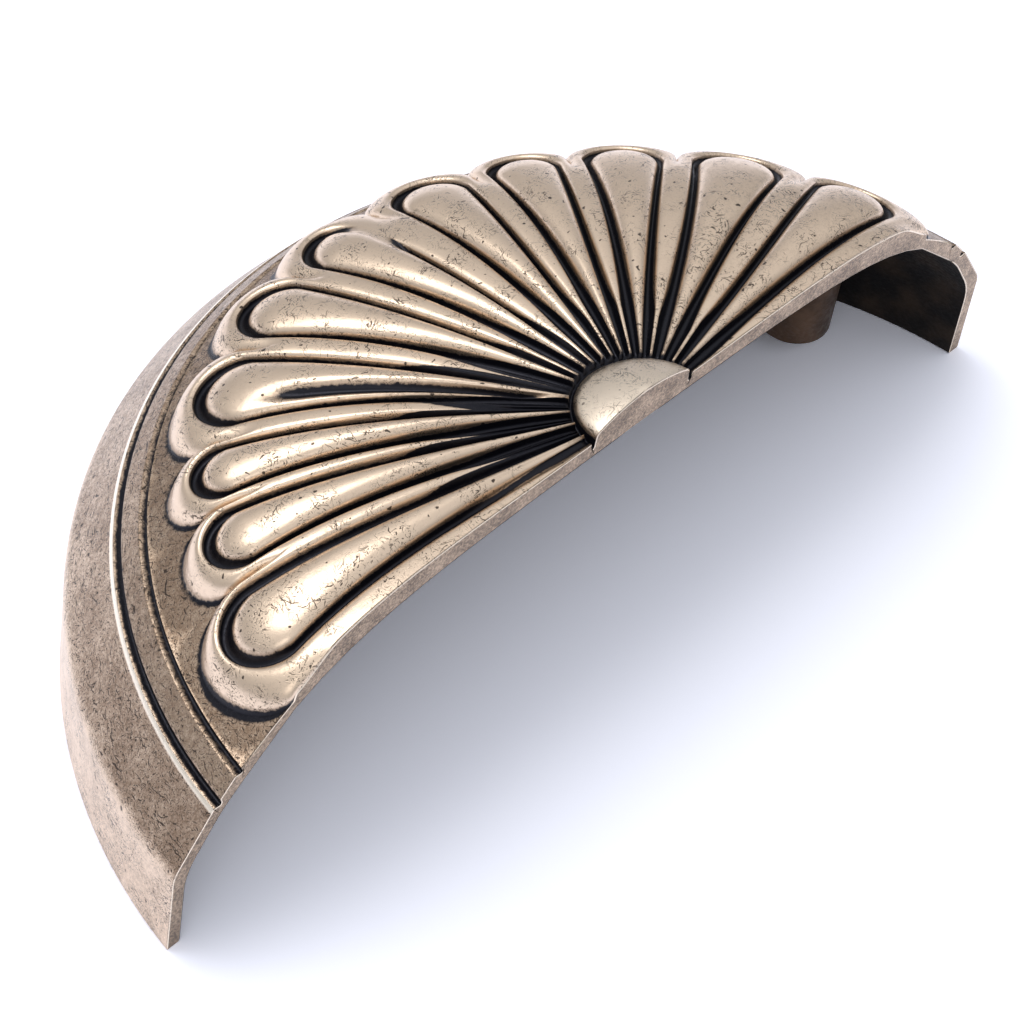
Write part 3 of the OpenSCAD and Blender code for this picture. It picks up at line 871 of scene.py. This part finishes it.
# Oxide in the carving, and painted shade at the foot of the border step and in its notches.
colour = mix_colour(tree, dark, colour, OXIDE_AND_SHADE)
rough = math_node(tree, "ADD", mix_value(tree, brown, 0.3, 0.42), centred(tree, grain, 0.16))
rough = mix_value(tree, dark, rough, 0.28)
dents = weighted(tree, (grain, 0.5), (fine, 0.25), (marks, -0.6))
set_shader(tree, shader, {
    "Base Color": colour, "Roughness": rough, "Metallic": mix_value(tree, dark, 1.0, 0.65),
    "Specular IOR Level": 0.45, "Normal": bumpy(tree, dents, 0.35, 0.00006)})
print("antique brass:", len(tree.nodes), "nodes")

# %% [markdown]
# ## Ground front
# The flat front face was ground on a belt after the casting, so it shows bare metal with a grain and fine
# scratches. An anisotropic shader could give a sheen, but here single scratches can be seen, so they are
# drawn.

# %% Ground front
GROUND_DARK = (0.15, 0.105, 0.075, 1)
GROUND_LIGHT = (0.62, 0.47, 0.345, 1)
BELT_MARK = (0.13, 0.105, 0.09, 1)
BELT_TURNS = [(0.0, 0.2, 0.0), (0.0, -0.5, 0.0), (0.0, 1.0, 0.0)]
ground, tree, shader = new_material("ground_brass")
place = millimetres(tree)
grain = noise(tree, place, 5.0, 4.0, 0.7)
cloud = noise(tree, place, 0.5, 2.0)
belt = hair_scratches(tree, place, BELT_TURNS, 0.8, 0.08, 0.6)
share = ramp(tree, weighted(tree, (grain, 0.7), (cloud, 0.3)), 0.35, 0.65)
colour = mix_colour(tree, share, GROUND_DARK, GROUND_LIGHT)
colour = mix_colour(tree, math_node(tree, "MULTIPLY", belt, 0.5), colour, BELT_MARK)
set_shader(tree, shader, {
    "Base Color": colour, "Roughness": ramp(tree, grain, 0.3, 0.7, 0.4, 0.55), "Metallic": 0.8,
    "Normal": bumpy(tree, math_node(tree, "SUBTRACT", grain, belt), 0.4, 0.00005)})
print("ground brass:", len(tree.nodes), "nodes")

# %% [markdown]
# ## Dark inside
# Nobody polishes the inside. It keeps the rough skin of the mould and is coloured nearly black: partly the
# bath that darkened the plating, partly painted shade under the shell. The posts are a lighter brown, also
# partly painted shade. One function makes both, with different colours.

# %% Dark inside and posts
def cast_skin(name, dark_patch, light_patch):
    """Rough skin from the mould, with patches of two browns."""
    material, tree, shader = new_material(name)
    place = millimetres(tree)
    patches = noise(tree, place, 0.35, 4.0)
    skin_grain = noise(tree, place, 3.0, 3.0)
    set_shader(tree, shader, {
        "Base Color": mix_colour(tree, ramp(tree, patches, 0.35, 0.7), dark_patch, light_patch),
        "Metallic": 0.4, "Specular IOR Level": 0.2,
        "Roughness": ramp(tree, skin_grain, 0.3, 0.7, 0.42, 0.6),
        "Normal": bumpy(tree, skin_grain, 0.4, 0.0001)})
    print(name, "has", len(tree.nodes), "nodes")
    return material


# Both colours are dark partly as painted shade under the shell.
inside = cast_skin("cast_inside_and_shade", (0.004, 0.003, 0.003, 1), (0.03, 0.019, 0.012, 1))
post_skin = cast_skin("cast_post_and_shade", (0.05, 0.029, 0.018, 1), (0.13, 0.076, 0.047, 1))

# %% [markdown]
# ## Carving the fan with a node tree
# A carver cuts every petal with the same strokes: round the lobe, sink a groove beside it, ease the border.
# Moving points one by one would hide that rule. The tree looks `across` up in one curve for a petal's sides
# and one for its round end, and lifts or sinks each point by the height. `relief` makes the carving
# shallower near the hub, and it is 0 off the fan.

# %% Profiles of the carving
LOBE_RISE = 0.5
PROFILE_LOW = -BORDER_FALL
PROFILE_SPAN = BORDER_FALL + LOBE_RISE
LOBE_PROFILE = [(0, LOBE_RISE), (0.3, 0.46), (0.55, 0.36), (0.75, 0.2), (0.88, 0.0), (0.94, -0.2),
                (0.97, -0.38), (1, -0.56), (1.05, -0.73), (1.13, -0.8), (1.22, -0.77), (1.3, -0.55),
                (1.35, -0.3), (1.4, -0.12)]
STRIP_PROFILE = LOBE_PROFILE + [(1.5, 0.0), (1.65, 0.06), (1.8, 0.09), (2, 0.1)]
END_PROFILE = LOBE_PROFILE + [(1.48, -0.02), (1.58, 0.0), (1.7, -0.08), (1.82, -0.24), (1.92, -0.5),
                              (2, -BORDER_FALL)]


def profile_points(profile):
    """A profile scaled to the unit square of a float curve."""
    return [(across / 2, (height - PROFILE_LOW) / PROFILE_SPAN) for across, height in profile]


print("profiles:", len(STRIP_PROFILE), "points for the sides and", len(END_PROFILE), "for the ends")

# %% Carve the fan
carve, carve_in, carve_out = new_tree("Carve the fan", [
    ("Lowest Cut", "NodeSocketFloat"), ("Height Range", "NodeSocketFloat"),
    ("Brass", "NodeSocketMaterial"), ("Inside", "NodeSocketMaterial")])
half_across = math_node(carve, "MULTIPLY", named_value(carve, "across"), 0.5)
strip_curve = curve_of(carve, half_across, profile_points(STRIP_PROFILE))
end_curve = curve_of(carve, half_across, profile_points(END_PROFILE))
height = mix_value(carve, named_value(carve, "end"), strip_curve, end_curve)
height = math_node(carve, "MULTIPLY", height, carve_in.outputs["Height Range"])
height = math_node(carve, "ADD", height, carve_in.outputs["Lowest Cut"])
height = math_node(carve, "MULTIPLY", height, named_value(carve, "relief"))
offset = node(carve, "ShaderNodeCombineXYZ", Z=height).outputs[0]
moved = node(carve, "GeometryNodeSetPosition", Geometry=carve_in.outputs["Geometry"], Offset=offset)
solid = node(carve, "GeometryNodeRealizeInstances", Geometry=moved.outputs[0])
brassed = node(carve, "GeometryNodeSetMaterial", Geometry=solid.outputs[0],
               Material=carve_in.outputs["Brass"])
is_inside = node(carve, "FunctionNodeCompare", {"data_type": "INT", "operation": "EQUAL"},
                 i2=carve.nodes.new("GeometryNodeInputMaterialIndex").outputs[0], i3=INSIDE)
painted = node(carve, "GeometryNodeSetMaterial", Geometry=brassed.outputs[0], Selection=is_inside.outputs[0],
               Material=carve_in.outputs["Inside"])
carve.links.new(painted.outputs[0], carve_out.inputs[0])
carved = apply_tree(casting, carve, {"Lowest Cut": PROFILE_LOW * MM, "Height Range": PROFILE_SPAN * MM,
                                     "Brass": brass, "Inside": inside})
print("carved mesh:", len(carved.vertices), "points")

# %% [markdown]
# ## Front cut
# The casting ends in a flat face along the front edge, with slightly rounded edges. The ends of all bands
# already form its outline: an upper line over the hub, petals and rim, and a lower line under them. A Fill
# operator could close it, but with sharp edges. So the outline is pulled back and rolled over in two small
# steps.

# %% Outline of the front cut
co = np.zeros(len(carved.vertices) * 3, np.float32)
carved.vertices.foreach_get("co", co)
co = co.reshape(-1, 3).astype(float) / MM


def without_repeats(line):
    return line[np.concatenate([[True], line[1:] != line[:-1]])]


right_side_ids = [hub_rings[::-1, 0][:-1], petal_ids[0][-1, :SIDE_N + 1], rings[1:n_outer, 0]]
left_side_ids = [hub_rings[::-1, -1][:-1], petal_ids[-1][-1, ::-1][:SIDE_N + 1], rings[1:n_outer, -1]]
upper = np.concatenate([np.concatenate(right_side_ids)[::-1], *left_side_ids])
upper = without_repeats(number[upper])
lower = without_repeats(number[np.concatenate([rings[n_outer:, 0], rings[n_outer:, -1][::-1]])])
loop = np.concatenate([upper, lower[::-1]])
n_loop = len(loop)
flat = co[loop][:, [0, 2]]
ahead, behind = np.roll(flat, -1, axis=0), np.roll(flat, 1, axis=0)
area = 0.5 * np.sum(flat[:, 0] * ahead[:, 1] - ahead[:, 0] * flat[:, 1])
order = 1 if area > 0 else -1
print("front cut:", n_loop, "points round it, area", round(abs(float(area)), 1), "mm2")

# %% Roll the edge over
EDGE_ROLL = 0.09
ROLL_ANGLES = np.radians((45, 90))
tangent = ahead - behind
tangent /= np.maximum(np.linalg.norm(tangent, axis=1, keepdims=True), 1e-9)
inward = np.stack([-tangent[:, 1], tangent[:, 0]], -1) * order
rolled = []
for angle in ROLL_ANGLES:
    moved_in = flat + inward * EDGE_ROLL * (1 - math.cos(angle))
    y = FRONT_Y + EDGE_ROLL * (1 - math.sin(angle))
    rolled.append(np.stack([moved_in[:, 0], np.full(n_loop, y), moved_in[:, 1]], -1))
co[loop, 1] = FRONT_Y + EDGE_ROLL
all_points = np.concatenate([co, *rolled])
rows = [loop] + [len(co) + step * n_loop + np.arange(n_loop) for step in range(len(ROLL_ANGLES))]
roll_faces = []
for near, far in zip(rows[:-1], rows[1:]):
    quads = np.stack([near, np.roll(near, -1), np.roll(far, -1), far], -1)
    roll_faces += quads[:, ::order].tolist()
print("rolled edge:", len(roll_faces), "faces,", EDGE_ROLL, "mm round")

# %% [markdown]
# ## Closing the casting
# One flat face with hundreds of corners would be split into slivers at random, some across the open arch.
# So triangles zip the upper line to the lower one, always by the shorter of two diagonals. The mesh then
# has to have no open edges and a positive volume.

# %% Zip the flat face
over, under = rows[-1][:len(upper)], rows[-1][len(upper):][::-1]
cut_faces = []
i, j = 0, 0
while i < len(over) - 1 or j < len(under) - 1:
    go_over, go_under = i < len(over) - 1, j < len(under) - 1
    if go_over and go_under:
        next_over = np.linalg.norm(all_points[over[i + 1]] - all_points[under[j]])
        go_over = next_over < np.linalg.norm(all_points[under[j + 1]] - all_points[over[i]])
    third = over[i + 1] if go_over else under[j + 1]
    cut_faces.append([int(over[i]), int(third), int(under[j])][::order])
    i, j = i + bool(go_over), j + (not go_over)
print("flat face:", len(cut_faces), "triangles")

# %% Closed casting
# The rolled front edge is painted pale: rubbed brass and a painted highlight line.
EDGE_RUB_AND_HIGHLIGHT = 0.6
pad = len(all_points) - len(co)
edge_values = {name: np.full(pad, EDGE_RUB_AND_HIGHLIGHT if name == "wear" else 0.0) for name in values}
all_values = {name: np.concatenate([value, edge_values[name]]) for name, value in values.items()}
all_faces = faces + roll_faces + cut_faces
all_parts = parts + [OUTSIDE] * len(roll_faces) + [CUT] * len(cut_faces)
closed = make_mesh("cup_pull_casting", all_points, all_faces, all_values, all_parts)
closed.polygons.foreach_set("use_smooth", np.array(all_parts) != CUT)
closed.update()
casting.data = closed

check = bmesh.new()
check.from_mesh(closed)
open_edges = [e for e in check.edges if not e.is_manifold]
volume = check.calc_volume(signed=True) / MM ** 3
check.free()
print("casting:", len(all_faces), "faces,", len(open_edges), "open edges, volume", round(volume, 1), "mm3")

# %% [markdown]
# ## Screw posts
# Two posts inside the shell take the screws that come from the drawer. Each is a round post with a blind
# bore. A cylinder and a boolean could make it, but a turned section, from the bore's end round the mouth
# and up the outside, also gives the small chamfers.

# %% One post, with its bore
screws = next(m for m in frame["record"]["mounts"] if m["name"] == "screw_posts")
screw_place = np.array(screws["pos_m"]) / MM
SCREW_SPACING = screws["dims"]["spacing_x_mm"]
BORE_R = screws["dims"]["hole_r_mm"]
BORE_DEPTH = 8.0
BORE_TIP = 0.6
POST_R = 2.9
POST_SIDES = 48
TOP_Z = 5.0
N_REACH = 3
post_section = [(0.0, BORE_DEPTH + BORE_TIP), (BORE_R, BORE_DEPTH), (BORE_R, 0.3), (BORE_R + 0.25, 0.0),
                (POST_R - 0.3, 0.0), (POST_R, 0.3), (POST_R, 4.0),
                (POST_R, TOP_Z), (POST_R * 0.5, TOP_Z), (0.0, TOP_Z)]
turns = np.linspace(0, 2 * math.pi, POST_SIDES, endpoint=False)
post_points = np.array([[(r * math.cos(t), r * math.sin(t), z) for t in turns] for r, z in post_section])
post_ids = np.arange(len(post_section) * POST_SIDES).reshape(-1, POST_SIDES)
turned_ids = np.roll(post_ids, -1, axis=1)
post_faces = np.stack([post_ids[:-1], turned_ids[:-1], turned_ids[1:], post_ids[1:]], -1).reshape(-1, 4)
reach = np.repeat(np.arange(len(post_section)) >= len(post_section) - N_REACH, POST_SIDES)
post_mesh = make_mesh("screw_posts", post_points.reshape(-1, 3), post_faces.tolist(), {"reach": reach},
                      np.zeros(len(post_faces)))
weld = bmesh.new()
weld.from_mesh(post_mesh)
bmesh.ops.remove_doubles(weld, verts=weld.verts, dist=1e-7)
bmesh.ops.recalc_face_normals(weld, faces=weld.faces)
for face in weld.faces:
    face.smooth = abs(face.normal.z) < 0.3
weld.to_mesh(post_mesh)
weld.free()
posts = new_object("screw_posts", post_mesh)
print("post:", len(post_mesh.vertices), "points, bore", 2 * BORE_R, "mm")

# %% [markdown]
# ## Both posts, up to the shell
# The posts were cast with the shell, so each runs up until it meets the shell from below. Their tops could
# be fitted by hand, but a ray shot up from each top point finds the shell by itself. The tree repeats the
# post at both screws and ends the tops a little inside the shell.

# %% Repeat the post and run it up to the shell
DEPTH_IN_SHELL = 0.4
repeat, repeat_in, repeat_out = new_tree("Posts under the shell", [
    ("Shell", "NodeSocketObject"), ("First Screw", "NodeSocketVector"), ("Screw Spacing", "NodeSocketVector"),
    ("Depth in the Shell", "NodeSocketFloat"), ("Finish", "NodeSocketMaterial")])
given = repeat_in.outputs
line = node(repeat, "GeometryNodeMeshLine", Count=2)
repeat.links.new(given["First Screw"], line.inputs["Start Location"])
repeat.links.new(given["Screw Spacing"], line.inputs["Offset"])
placed = node(repeat, "GeometryNodeInstanceOnPoints", Points=line.outputs[0], Instance=given["Geometry"])
plain = node(repeat, "GeometryNodeRealizeInstances", Geometry=placed.outputs[0])
shell = node(repeat, "GeometryNodeObjectInfo", Object=given["Shell"])
ray = node(repeat, "GeometryNodeRaycast")
repeat.links.new(shell.outputs["Geometry"], ray.inputs["Target Geometry"])
ray.inputs["Ray Direction"].default_value = (0, 0, 1)
bury = node(repeat, "ShaderNodeCombineXYZ", Z=given["Depth in the Shell"]).outputs[0]
top = node(repeat, "ShaderNodeVectorMath", {"operation": "ADD"}, i0=ray.outputs["Hit Position"], i1=bury)
reached = node(repeat, "GeometryNodeSetPosition", Geometry=plain.outputs[0],
               Selection=named_value(repeat, "reach"), Position=top.outputs[0])
painted = node(repeat, "GeometryNodeSetMaterial", Geometry=reached.outputs[0], Material=given["Finish"])
repeat.links.new(painted.outputs[0], repeat_out.inputs[0])
first_screw = Vector((screw_place[0] - SCREW_SPACING / 2, screw_place[1], screw_place[2])) * MM
apply_tree(posts, repeat, {
    "Shell": casting, "First Screw": first_screw, "Screw Spacing": Vector((SCREW_SPACING * MM, 0, 0)),
    "Depth in the Shell": DEPTH_IN_SHELL * MM, "Finish": post_skin})
heights = [round(v.co.z / MM, 2) for v in posts.data.vertices]
print("posts:", len(posts.data.vertices), "points, from", min(heights), "to", max(heights), "mm")

# %% [markdown]
# ## One piece
# Shell and posts are one casting, so they become one object. The join operator depends on what is selected.
# Adding both meshes to one bmesh doesn't, and it keeps the material numbers.

# %% One piece from the shell and its posts
posts.data.materials.clear()
for mesh in (casting.data, posts.data):
    for material in (brass, ground, inside, post_skin):
        mesh.materials.append(material)
posts.data.polygons.foreach_set("material_index", np.full(len(posts.data.polygons), POST, np.int32))
whole = bmesh.new()
whole.from_mesh(casting.data)
whole.from_mesh(posts.data)
whole.to_mesh(casting.data)
whole.free()
bpy.data.objects.remove(posts)
casting.data.calc_loop_triangles()
print("piece:", len(casting.data.loop_triangles), "triangles")

# %% [markdown]
# ## Floor
# The pull lies on a pale sheet that is white in the photograph. A floor that white would throw so much
# light up that the dark inside turns grey. So it is whiter for the camera and for glossy reflections than
# for the soft light that it passes on.

# %% Floor
FLOOR_SIZE = 3.0
half_floor = FLOOR_SIZE / 2
floor_corners = [(x * half_floor, y * half_floor, 0) for x, y in ((-1, -1), (1, -1), (1, 1), (-1, 1))]
floor_mesh = bpy.data.meshes.new("floor")
floor_mesh.from_pydata(floor_corners, [], [(0, 1, 2, 3)])
floor = new_object("floor", floor_mesh)
paper, tree, shader = new_material("pale_paper")
set_shader(tree, shader, {"Base Color": (0.76, 0.765, 0.78, 1), "Roughness": 0.9, "Specular IOR Level": 0.1})
white_sheet = node(tree, "ShaderNodeBsdfDiffuse", Color=(1.15, 1.165, 1.28, 1))
path = tree.nodes.new("ShaderNodeLightPath")
seen = math_node(tree, "MAXIMUM", path.outputs["Is Camera Ray"], path.outputs["Is Glossy Ray"])
both = node(tree, "ShaderNodeMixShader", i0=seen, i1=shader.outputs[0], i2=white_sheet.outputs[0])
tree.links.new(both.outputs[0], tree.nodes["Material Output"].inputs["Surface"])
floor_mesh.materials.append(paper)
print("floor:", FLOOR_SIZE, "m")

# %% [markdown]
# ## Lights
# A wide soft box stands above and behind, a dim one on the left, in a pale room. A picture of a room could
# light it too. But metal shows what is round it, and a plain room that is darker near the horizon gives the
# same long soft highlights. The camera sees white behind the floor.

# %% Lights
HORIZON_LEVEL, OVERHEAD_LEVEL = 0.46, 0.9
world = bpy.data.worlds.new("studio")
bpy.context.scene.world = world
world.use_nodes = True
tree = world.node_tree
tree.nodes.clear()
direction = tree.nodes.new("ShaderNodeTexCoord").outputs["Generated"]
up = node(tree, "ShaderNodeSeparateXYZ", i0=direction).outputs["Z"]
level = ramp(tree, up, 0.0, 0.75, HORIZON_LEVEL, OVERHEAD_LEVEL)
room = node(tree, "ShaderNodeBackground", Color=(0.94, 0.96, 1.0, 1), Strength=level).outputs[0]
white = node(tree, "ShaderNodeBackground", Color=(1, 1, 1, 1), Strength=1.0).outputs[0]
path = tree.nodes.new("ShaderNodeLightPath")
chosen = node(tree, "ShaderNodeMixShader", i0=path.outputs["Is Camera Ray"], i1=room, i2=white)
output = tree.nodes.new("ShaderNodeOutputWorld")
tree.links.new(chosen.outputs[0], output.inputs["Surface"])


def soft_box(name, place, target, size, radiance, colour=(1, 1, 1)):
    """A square area light whose face has the given brightness."""
    data = bpy.data.lights.new(name, "AREA")
    data.shape = "SQUARE"
    data.size = size
    data.energy = radiance * math.pi * size * size
    data.color = colour
    light = new_object(name, data)
    aim = Vector(target) - Vector(place)
    light.rotation_euler = aim.to_track_quat("-Z", "Y").to_euler()
    light.location = place


LIGHT_TARGET = (0, 0, 0.01)
soft_box("key_softbox", (-0.10, 0.27, 0.62), LIGHT_TARGET, 0.46, 2.8)
soft_box("fill_softbox", (-0.55, -0.35, 0.45), LIGHT_TARGET, 0.35, 0.9, (1.0, 0.98, 0.95))
bpy.context.scene.view_settings.view_transform = "Standard"
print("lights: two soft boxes and a pale room")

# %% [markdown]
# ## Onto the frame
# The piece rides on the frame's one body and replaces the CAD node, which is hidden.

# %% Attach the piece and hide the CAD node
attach(casting, "root")
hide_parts("cup_pull")
